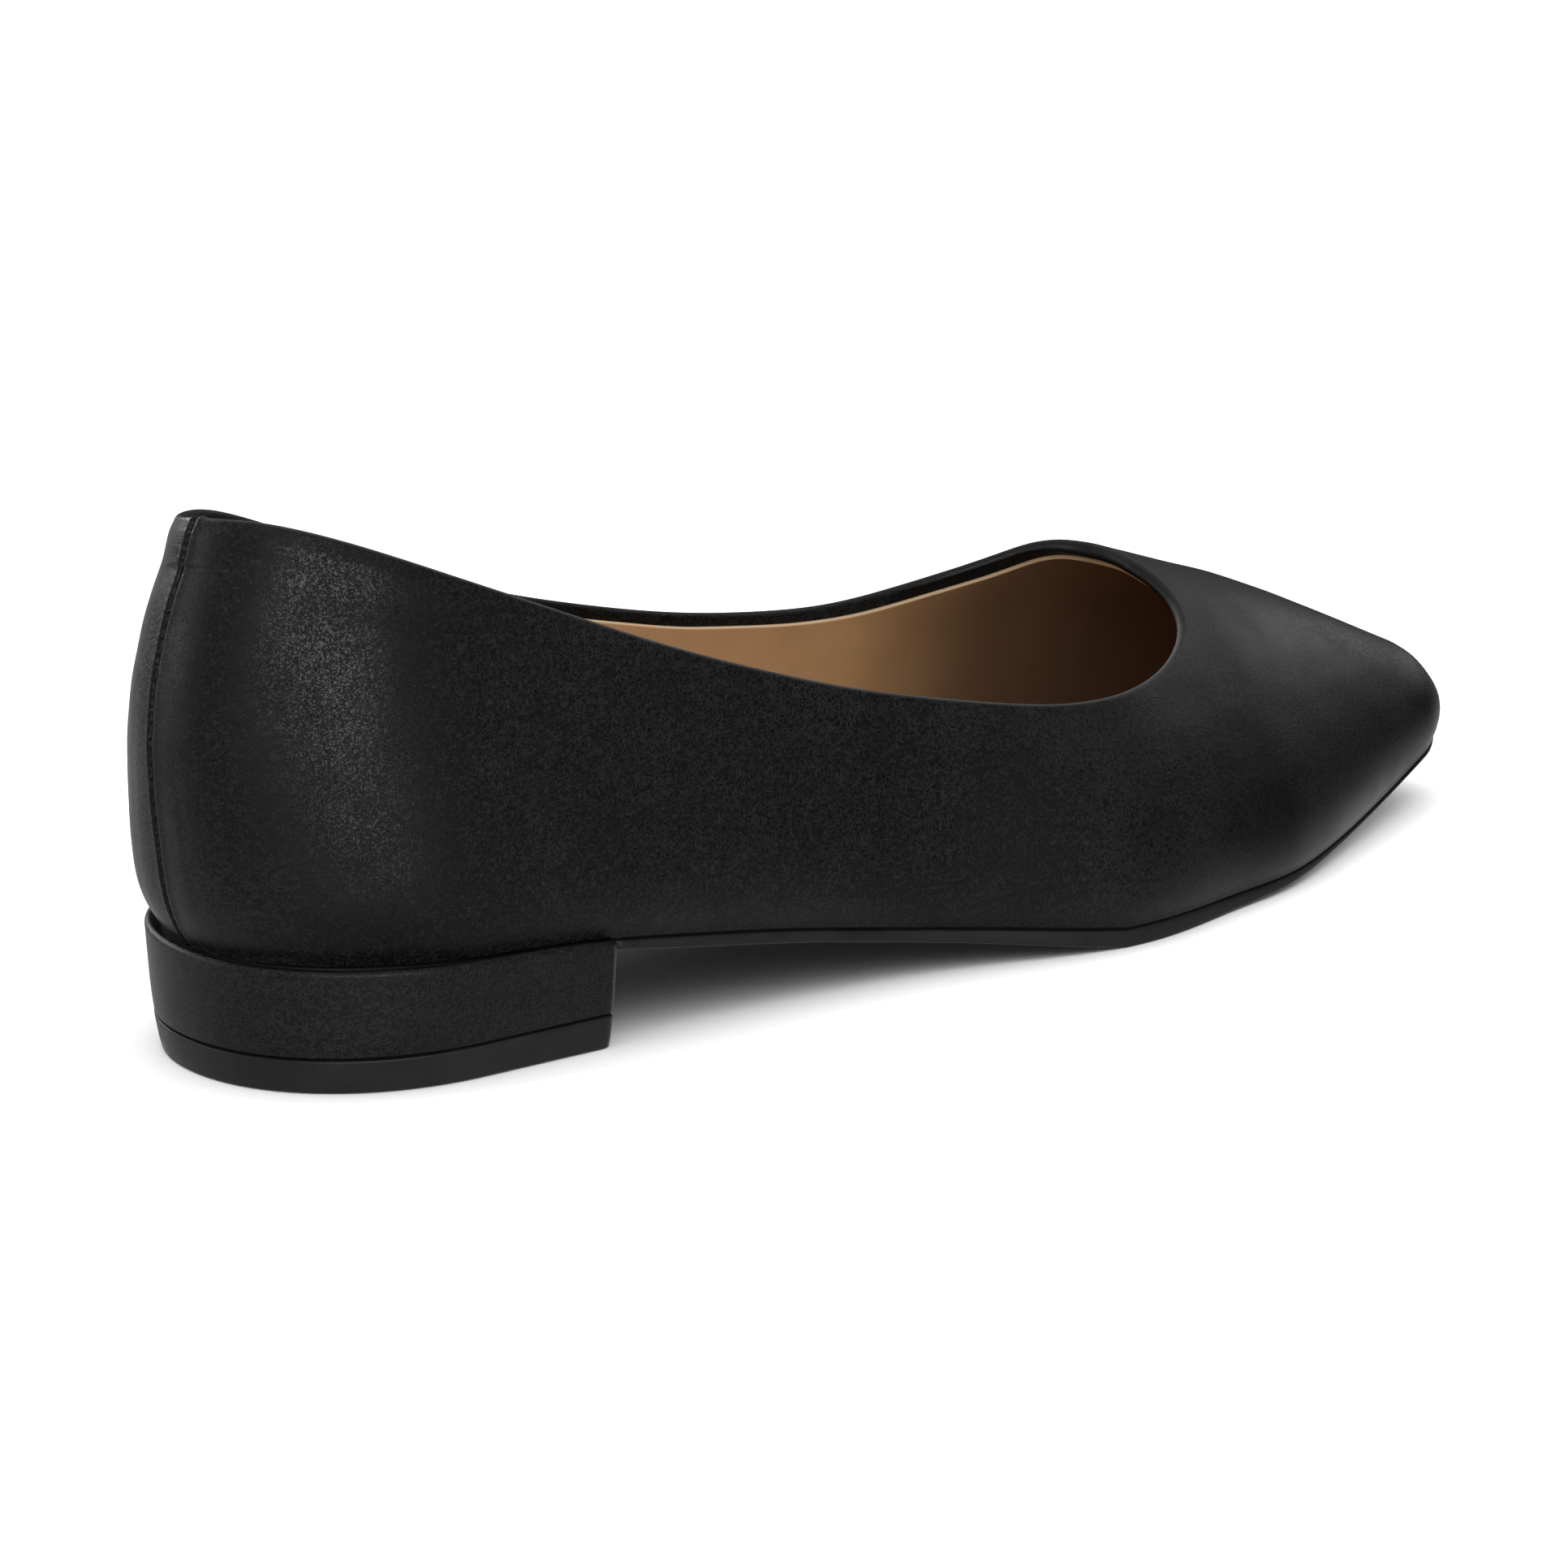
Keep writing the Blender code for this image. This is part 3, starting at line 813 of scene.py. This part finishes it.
def relief(points, below_top):
    """How far the leather stands off the plain form: the collar's folded edge, a soft hollow below it,
    tension waves, and the seam."""
    x, y = points[..., 0], points[..., 1]
    at_seam = np.exp(-((np.abs(y) / FOLD_WIDE) ** 2)) * (x < SEAM_END)
    fold = FOLD_STEP * at_seam * (1 - smooth((below_top - COLLAR_FOLD + 0.3 * MM) / (0.6 * MM)))
    near_back = 1 - smooth((x - 12 * MM) / (45 * MM))
    hollow = -HOLLOW * near_back * np.exp(-(((below_top - COLLAR_FOLD) / HOLLOW_WIDE) ** 2))
    swell = SWELL * near_back * np.exp(-(((below_top - SWELL_BELOW) / SWELL_WIDE) ** 2))
    waves = LONG_WAVE_HIGH * noise(points, LONG_WAVE, 3)
    waves += SHORT_WAVE_HIGH * noise(points * [1, 1, 2], SHORT_WAVE, 5)
    return seam(points) + fold + (hollow + swell + waves) * smooth(below_top / (3 * MM))


def upper_outside(wall):
    """The leather from under the feather edge up over the collar's roll and down inside it."""
    length = wall.length
    roll_at = length - wall.roll
    rows = []
    low = wall.at(FEATHER_ROLL, -FEATHER_ROLL)
    low_normal = wall.read(wall.normal, np.broadcast_to(FEATHER_ROLL, length.shape))
    down = np.array([0, 0, -1.0])
    inward = -low_normal * [1, 1, 0]
    inward /= np.linalg.norm(inward, axis=1, keepdims=True)
    # From under the foot out to the feather edge and round it
    for reach in (8 * MM, 4 * MM, 1.5 * MM, 0.4 * MM):
        rows.append(low + down * FEATHER_ROLL + inward * np.minimum(reach, wall.under)[:, None])
    for turn in np.linspace(radians(85), 0, 7):
        rows.append(low + (low_normal * cos(turn) + down * sin(turn)) * FEATHER_ROLL)
    # Up the side, closer at the collar's fold
    for share in np.linspace(0, 1, 64)[1:] ** 0.96:
        rows.append(FEATHER_ROLL + (length - 9.1 * MM - FEATHER_ROLL) * share)
    for below in np.arange(8.75, 6.4, -0.25) * MM:
        rows.append(length - below)
    for below in np.arange(6.1, 1.7, -0.4) * MM:
        rows.append(length - below)
    for share in (0.6, 0.3):
        rows.append(length - 1.6 * MM * share - wall.roll * (1 - share))
    # The rows above with their relief, then over the roll and down inside
    shaped = []
    for row in rows:
        if np.ndim(row) == 2:
            shaped.append(row + low_normal * seam(row)[:, None])
            continue
        plain = wall.at(row)
        shaped.append(wall.at(row, relief(plain, length - row)))
    out = wall.read(wall.normal, roll_at)
    along = wall.read(np.gradient(wall.grid, axis=1), roll_at)
    along /= np.linalg.norm(along, axis=1, keepdims=True)
    plain = wall.at(roll_at)
    lift = relief(plain, length - roll_at) - seam(plain)
    centre = wall.at(roll_at, lift - wall.roll)
    radius = (wall.roll + seam(plain))[:, None]
    # Where the painted highlight lies: the crest of the roll, on the outer side only
    outer = smooth((middle(plain[:, 0]) - plain[:, 1] - 4 * MM) / (14 * MM))
    roll_highlight = [outer * 0] * len(shaped)
    for turn in np.linspace(0, pi, 15):
        shaped.append(centre + (out * cos(turn) + along * sin(turn)) * radius)
        roll_highlight.append(outer * abs(sin(turn)) ** 4)
    for below in (0.5, 1.0, 1.6, 2.4, 3.4, 4.5):
        shaped.append(wall.at(roll_at - below * MM, -2 * wall.roll))
        roll_highlight.append(outer * 0)
    return ring_piece("upper_leather", shaped, {"roll_highlight": np.array(roll_highlight)})


def upper_lining(wall):
    """The tan lining: its cut edge below the collar's roll, then down to the insole."""
    length = wall.length
    behind = -2 * wall.roll
    front = behind - LINING
    rows, edge = [], []

    def add(below, out, pale):
        rows.append(wall.at(length - below, out))
        edge.append(np.full(len(length), pale))

    trim = 0.10 * MM * noise(wall.at(length), 22 * MM, 11)
    top = wall.band + trim
    add(top + 0.9 * MM, behind + 0.2 * MM, 1.0)
    add(top, behind + 0.1 * MM, 1.0)
    add(top - 0.02 * MM, behind - 0.3 * LINING, 1.0)
    add(top, behind - 0.75 * LINING, 1.0)
    add(top + 0.10 * MM, front + 0.03 * MM, 0.7)
    add(top + 0.22 * MM, front, 0.0)
    reach = length - LINING_FOOT - COLLAR_BAND
    for share in np.linspace(0, 1, 46) ** 1.1:
        below = top + 0.5 * MM + reach * share * 0.985
        spot = wall.at(length - below)
        ripple = 0.22 * MM * noise(spot * [1, 1, 0.5], 16 * MM, 21) * smooth(share * 4) * (1 - share)
        add(below, front + ripple, 0.0)
    # under_vamp carries the lining's painted shade
    values = {"cut_edge": np.array(edge), "under_vamp": under_vamp(np.array(rows))}
    return ring_piece("lining", rows, values)


def seam_lines(length):
    """Close lines beside the seam, from the middle outwards on one side, as (line, row, x y z). They
    are read across the wall, so that they keep their distance from the seam all the way up."""
    fine = np.linspace(0, CLOSE / length, 24)
    sides = wall_grid(edge_at(fine), fine, FINE_UP + 1)
    near = np.r_[np.arange(0, 0.5, 0.07), np.arange(0.5, 1.6, 0.15), np.arange(1.7, 4.6, 0.4)] * MM
    result = {}
    for side in (-1, 1):
        lines = sides[side]
        away = side * lines[..., 1]
        asked = near[:, None] * np.maximum(1, (away[-1] / (CLOSE + 0.2 * MM)))
        asked = np.where(near[:, None] < 1.6 * MM, near[:, None], asked)
        result[side] = np.stack([
            np.stack([np.interp(asked[:, row], away[:, row], lines[:, row, k]) for k in range(3)], -1)
            for row in range(lines.shape[1])
        ], 1)
    return near, result


def whole_wall():
    """The wall with close lines near the seam, even ones from there to the toe, and its roll's size."""
    length = np.linalg.norm(np.diff(feather_edge(4001), axis=0), axis=1).sum()
    near, beside = seam_lines(length)
    shares = np.linspace(CLOSE / length, 1, AROUND)
    sides = wall_grid(edge_at(shares), shares, FINE_UP + 1)
    lines = {side: np.concatenate([beside[side], sides[side]]) for side in (-1, 1)}
    wall = Wall(np.concatenate([lines[-1], lines[1][-2:0:-1]]))
    shares = np.r_[near / length, shares]
    around = np.r_[shares, 2 - shares[-2:0:-1]]
    throat = np.exp(-(((around - 1) / 0.17) ** 2))
    wall.roll = COLLAR_ROLL + (THROAT_ROLL - COLLAR_ROLL) * throat
    aside = smooth((np.abs(around - 1) - 0.22) / 0.28)
    wall.band = COLLAR_BAND + THROAT_BAND * throat + SIDE_BAND * aside
    foot = wall.grid[:, 0]
    wall.under = np.clip(np.abs(foot[:, 1] - middle(foot[:, 0])) * 0.6 + 1.0 * MM, 0, 8 * MM)
    return wall


wall = whole_wall()

finish_piece(upper_outside(wall), "upper", leather)
lining = finish_piece(upper_lining(wall), "upper", lining_leather)


# Stitches of the seam up the back

def applied(piece):
    """The piece with its modifiers made part of its mesh."""
    graph = bpy.context.evaluated_depsgraph_get()
    mesh = bpy.data.meshes.new_from_object(piece.evaluated_get(graph))
    piece.modifiers.clear()
    piece.data = mesh
    return piece


def stitch_tree():
    """Nodes that lay a stitch along a seam line at every pitch."""
    tree = bpy.data.node_groups.new("seam_stitches", "GeometryNodeTree")
    face = tree.interface
    face.new_socket("Geometry", in_out="INPUT", socket_type="NodeSocketGeometry")
    for name in ("Pitch", "Length", "Width"):
        face.new_socket(name, in_out="INPUT", socket_type="NodeSocketFloat")
    face.new_socket("Thread", in_out="INPUT", socket_type="NodeSocketMaterial")
    face.new_socket("Geometry", in_out="OUTPUT", socket_type="NodeSocketGeometry")
    nodes, links = tree.nodes, tree.links
    start, end = nodes.new("NodeGroupInput"), nodes.new("NodeGroupOutput")
    curve = nodes.new("GeometryNodeMeshToCurve")
    resample = nodes.new("GeometryNodeResampleCurve")
    resample.mode = "LENGTH"
    tangent = nodes.new("GeometryNodeInputTangent")
    align = nodes.new("FunctionNodeAlignRotationToVector")
    align.axis = "Z"
    sphere = nodes.new("GeometryNodeMeshUVSphere")
    sphere.inputs["Segments"].default_value = 8
    sphere.inputs["Rings"].default_value = 6
    sphere.inputs["Radius"].default_value = 0.5
    size = nodes.new("ShaderNodeCombineXYZ")
    scatter = nodes.new("GeometryNodeInstanceOnPoints")
    realize = nodes.new("GeometryNodeRealizeInstances")
    paint = nodes.new("GeometryNodeSetMaterial")
    links.new(start.outputs["Geometry"], curve.inputs["Mesh"])
    links.new(curve.outputs["Curve"], resample.inputs["Curve"])
    links.new(start.outputs["Pitch"], resample.inputs["Length"])
    links.new(resample.outputs["Curve"], scatter.inputs["Points"])
    links.new(tangent.outputs["Tangent"], align.inputs["Vector"])
    links.new(align.outputs["Rotation"], scatter.inputs["Rotation"])
    links.new(sphere.outputs["Mesh"], scatter.inputs["Instance"])
    links.new(start.outputs["Width"], size.inputs["X"])
    links.new(start.outputs["Width"], size.inputs["Y"])
    links.new(start.outputs["Length"], size.inputs["Z"])
    links.new(size.outputs["Vector"], scatter.inputs["Scale"])
    links.new(scatter.outputs["Instances"], realize.inputs["Geometry"])
    links.new(realize.outputs["Geometry"], paint.inputs["Geometry"])
    links.new(start.outputs["Thread"], paint.inputs["Material"])
    links.new(paint.outputs["Geometry"], end.inputs["Geometry"])
    return tree


def seam_stitches(wall):
    """Stitches sunk in the seam, from above the sole to over the collar."""
    line = wall.grid[0]
    out = wall.normal[0]
    up = np.linspace(0.03, 0.985, 220) * (len(line) - 1)
    at = np.arange(len(line))
    points = [np.stack([np.interp(up, at, row[:, k]) for k in range(3)], -1) for row in (line, out)]
    line = points[0] - points[1] * STITCH_SUNK
    mesh = bpy.data.meshes.new("seam_stitches")
    mesh.from_pydata(place(line).tolist(), [(i, i + 1) for i in range(len(line) - 1)], [])
    sewn = shown("seam_stitches", mesh)
    tree = stitch_tree()
    sew = sewn.modifiers.new("stitches", "NODES")
    sew.node_group = tree
    wanted = {"Pitch": STITCH_PITCH, "Length": STITCH_LONG, "Width": STITCH_WIDE, "Thread": thread}
    for item in tree.interface.items_tree:
        if item.item_type == "SOCKET" and item.in_out == "INPUT" and item.name in wanted:
            sew[item.identifier] = wanted[item.name]
    return applied(sewn)


stitches = seam_stitches(wall)
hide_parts("upper")
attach(stitches, "root")


# Insole, outsole, heel and top lift

def closed_plan(name, line_at, rows):
    """A flat closed piece. rows are (inset, height function) from the underside's rim to the top's;
    the middles of both faces are filled down to the middle line."""
    rings = []
    under_line, under = line_at(rows[0][0]), rows[0][1]
    over_line, over = line_at(rows[-1][0]), rows[-1][1]
    for share in np.linspace(0, 1, 7)[:-1]:
        rings.append(plan_ring(under_line * [1, share], under))
    for inset, level in rows:
        rings.append(plan_ring(line_at(inset), level))
    for share in np.linspace(1, 0, 7)[1:]:
        rings.append(plan_ring(over_line * [1, share], over))
    # under_vamp gives the insole the lining's painted shade under the vamp; the rubber doesn't use it
    return closed(ring_piece(name, rings, {"under_vamp": under_vamp(np.array(rings))}))


def outsole_line(inset):
    """Plan of the outsole: within the heel's rim, then just outside the feather edge."""
    step = BREAST + GAP + np.array([0, 0.3, 0.6, 1.0]) * MM
    corners = np.array([FLAT_START, FLAT_END]) * LENGTH
    stations = np.unique(np.r_[feather_edge(161)[:, 0], BREAST, step, corners])
    line = np.stack([stations, half(stations)], -1)
    out = smooth((stations - step[0]) / (step[-1] - step[0]))
    return inset_line(line, (SOLE_IN - (SOLE_IN + SOLE_OUT) * out)[:, None] + inset)


def outsole():
    """The thin sole: rounded at the floor, with a soft upper edge under the leather."""

    def between(share):
        return lambda x: sole_bottom(x) + (feather(x) - GAP / 2 - sole_bottom(x)) * share

    rows = []
    for turn in np.linspace(0, pi / 2, 5):
        rows.append((SOLE_ROUND_BELOW * (1 - sin(turn)), between(0.3 * (1 - cos(turn)))))
    for turn in np.linspace(0, pi / 2, 4):
        rows.append((SOLE_ROUND_ABOVE * (1 - cos(turn)), between(1 - 0.25 * (1 - sin(turn)))))
    return closed_plan("outsole_rubber", outsole_line, rows)


def insole():
    """The padded sock, which widens at its top until it meets the lining."""

    def line_at(inset):
        return inset_line(feather_edge(161), 2 * COLLAR_ROLL + LINING + SOCK_CLEAR + inset)

    rows = [
        (0.0, lambda x: feather(x) + 0.1 * MM),
        (-0.8 * MM, lambda x: feather(x) + INSOLE - 0.9 * MM),
    ]
    for turn in np.linspace(0, pi / 2, 5):
        out = SOCK_SPREAD - SOCK_ROUND * (1 - cos(turn))
        rows.append((-out, lambda x, t=turn: feather(x) + INSOLE - 0.4 * MM * (1 - sin(t))))
    rows.append((4 * MM, lambda x: feather(x) + INSOLE - 0.05 * MM))
    return closed_plan("insole_sock", line_at, rows)


def heel_ring(up, inset, level):
    """One ring of the heel: a D in plan with rounded corners at the breast."""
    back, width = heel_back_at(up), heel_width_at(up)
    x = back + (BREAST - HEEL_CORNER - back) * (1 - np.cos(np.linspace(0, pi / 2, 801)))
    round_back = np.clip(1 - (x - back) / HEEL_ROUND, 0, 1)
    line = np.stack([x, width / 2 * (1 - round_back**2.1) ** (1 / 2.1)], -1)
    turns = np.linspace(0, pi / 2, 9)[1:]
    centre = line[-1] - [0, HEEL_CORNER]
    line = np.concatenate([line, centre + HEEL_CORNER * np.stack([np.sin(turns), np.cos(turns)], -1)])
    turned = len(line)
    front = np.stack([np.full(40, BREAST), np.linspace(line[-1, 1], 0, 40)], -1)
    line = inset_line(np.concatenate([line, front[1:]]), inset)
    line[-1] = BREAST - inset, 0
    line = np.concatenate([even(line[:turned], HEEL_AROUND), even(line[turned - 1 :], BREAST_ACROSS)[1:]])
    return plan_ring(line, level)


def heel():
    """The covered block: leather turned over its rim, with the outsole let into its seat."""

    def rim(x):
        return feather(np.clip(x, 0, LENGTH)) + RIM

    def seat(x):
        return sole_bottom(x) - GAP

    base = LIFT + JOINT
    rings = []
    for share in np.linspace(0, 1, 6)[:-1]:
        rings.append(drawn_in(heel_ring(LIFT, 0.9 * MM, flat(base)), share))
    for turn in np.linspace(0, pi / 2, 5):
        level = flat(base + HEEL_ROUND_BELOW * (1 - cos(turn)))
        rings.append(heel_ring(LIFT, HEEL_ROUND_BELOW * (1 - sin(turn)), level))
    low = base + HEEL_ROUND_BELOW
    for share in np.linspace(0, 1, 16)[1:]:
        def level(x, share=share):
            return low + (rim(x) - RIM_ROUND - low) * share
        rings.append(heel_ring(LIFT + (HEEL_TOP - LIFT) * share, 0.0, level))
    for turn in np.linspace(0, pi / 2, 7)[1:]:
        def level(x, turn=turn):
            return rim(x) - RIM_ROUND * (1 - sin(turn))
        rings.append(heel_ring(HEEL_TOP, RIM_ROUND * (1 - cos(turn)), level))
    last = rings[-1]
    seat_edge = heel_ring(HEEL_TOP, SEAT_IN, seat)
    for share in (0.5, 1.0):
        rings.append(last + (seat_edge - last) * share)
    for share in np.linspace(0.9, 0, 6):
        rings.append(drawn_in(seat_edge, share))
    return closed(ring_piece("heel_cover", rings))


def top_lift():
    """The rubber piece under the heel, rounded at the floor and a little at its top."""
    rings = []
    for share in np.linspace(0, 1, 6)[:-1]:
        rings.append(drawn_in(heel_ring(0.0, LIFT_ROUND, flat(0.0)), share))
    for turn in np.linspace(0, pi / 2, 5):
        rings.append(heel_ring(0.0, LIFT_ROUND * (1 - sin(turn)), flat(LIFT_ROUND * (1 - cos(turn)))))
    for share in np.linspace(0, 1, 6)[1:]:
        z = LIFT_ROUND + (LIFT - LIFT_ROUND - LIFT_TOP_ROUND) * share
        rings.append(heel_ring(z, 0.0, flat(z)))
    for turn in np.linspace(0, pi / 2, 4)[1:]:
        level = flat(LIFT - LIFT_TOP_ROUND * (1 - sin(turn)))
        rings.append(heel_ring(LIFT, LIFT_TOP_ROUND * (1 - cos(turn)), level))
    for share in np.linspace(1, 0, 6)[1:]:
        rings.append(drawn_in(heel_ring(LIFT, LIFT_TOP_ROUND, flat(LIFT)), share))
    return closed(ring_piece("lift_rubber", rings))


sock = finish_piece(insole(), "insole", lining_leather)
finish_piece(outsole(), "outsole", sole_rubber)
finish_piece(heel(), "heel", heel_leather)
finish_piece(top_lift(), "top_lift", lift_rubber)


# Floor, lights and camera

def floor():
    """The white floor, which the leather doesn't mirror."""
    mesh = bpy.data.meshes.new("floor")
    corners = [(-1, -1), (1, -1), (1, 1), (-1, 1)]
    mesh.from_pydata([(x * FLOOR_REACH, y * FLOOR_REACH, 0) for x, y in corners], [], [(0, 1, 2, 3)])
    piece = shown("floor", mesh)
    look, _, shader = new_look("floor_white")
    shader.inputs["Base Color"].default_value = (*FLOOR_WHITE, 1)
    shader.inputs["Roughness"].default_value = 0.9
    shader.inputs["Specular IOR Level"].default_value = 0.1
    piece.data.materials.append(look)
    piece.visible_glossy = False
    return piece


def soft_box(name, spot, aim, size, power, roll=0.0, spares=()):
    """A soft light turned by roll about its aim; spares are the pieces that it doesn't fall on."""
    lamp = bpy.data.lights.new(name, "AREA")
    lamp.shape = "RECTANGLE"
    lamp.size, lamp.size_y = size
    lamp.energy = power
    piece = shown(name, lamp)
    piece.location = spot
    turned = (Vector(aim) - Vector(spot)).to_track_quat("-Z", "Y") @ Quaternion((0, 0, 1), roll)
    piece.rotation_euler = turned.to_euler()
    if spares:
        receivers = bpy.data.collections.new(name + "_receivers")
        piece.light_linking.receiver_collection = receivers
        for spared in spares:
            receivers.objects.link(spared)
        for member in receivers.collection_objects:
            member.light_linking.link_state = "EXCLUDE"


def world(low, high, behind, below):
    """Dark room behind the camera, bright overhead and behind the shoe, and a pale glow from below."""
    made = bpy.data.worlds.new("studio")
    made.use_nodes = True
    tree = made.node_tree
    background = tree.nodes["Background"]
    background.inputs["Color"].default_value = (1, 1, 1, 1)
    way = node(tree, "ShaderNodeTexCoord")
    parts = node(tree, "ShaderNodeSeparateXYZ")
    tree.links.new(way.outputs["Generated"], parts.inputs["Vector"])
    facing = node(tree, "ShaderNodeVectorMath", operation="DOT_PRODUCT")
    tree.links.new(way.outputs["Generated"], facing.inputs[0])
    facing.inputs[1].default_value = (sin(CAMERA_TURN), cos(CAMERA_TURN), 0)
    over = ramp(tree, parts.outputs["Z"], 0.22, 0.95, low, high)
    under = ramp(tree, parts.outputs["Z"], -0.08, -0.30, low, below)
    back = ramp(tree, facing.outputs["Value"], 0.3, 0.9, low, behind)
    back = math(tree, "MULTIPLY", back, ramp(tree, parts.outputs["Z"], 0.05, 0.3))
    strength = math(tree, "MAXIMUM", math(tree, "MAXIMUM", over, under), back)
    tree.links.new(strength, background.inputs["Strength"])
    bpy.context.scene.world = made


def camera():
    """The photograph's angle on the one shoe."""
    lens = bpy.data.cameras.new("camera")
    lens.sensor_width = 36
    lens.lens = LENS
    lens.clip_start = 0.05
    piece = shown("camera", lens)
    way = Vector((
        sin(CAMERA_TURN) * cos(CAMERA_RISE),
        cos(CAMERA_TURN) * cos(CAMERA_RISE),
        -sin(CAMERA_RISE),
    ))
    eye = Vector(CAMERA_AIM) - way * CAMERA_AWAY
    piece.location = eye
    piece.rotation_euler = (Vector(FRAME_AIM) - eye).to_track_quat("-Z", "Y").to_euler()
    bpy.context.scene.camera = piece


pale = (floor(), lining, sock)
world(low=0.015, high=2.8, behind=0.6, below=1.4)
soft_box("side_light", (-0.49, -1.15, 0.29), (0.0, -0.02, 0.06), (1.10, 0.28), 50, radians(-20), pale)
soft_box("back_light", (-1.08, 0.56, 0.22), (-0.02, 0, 0.06), (0.40, 0.40), 11, spares=pale)
soft_box("far_light", (-0.15, 1.30, 0.42), (0.08, 0, 0.05), (0.9, 0.3), 16, spares=pale)
soft_box("toe_light", (1.40, 0.34, 0.40), (0.17, 0, 0.03), (0.5, 0.3), 2)
camera()
bpy.context.scene.view_settings.view_transform = "Standard"
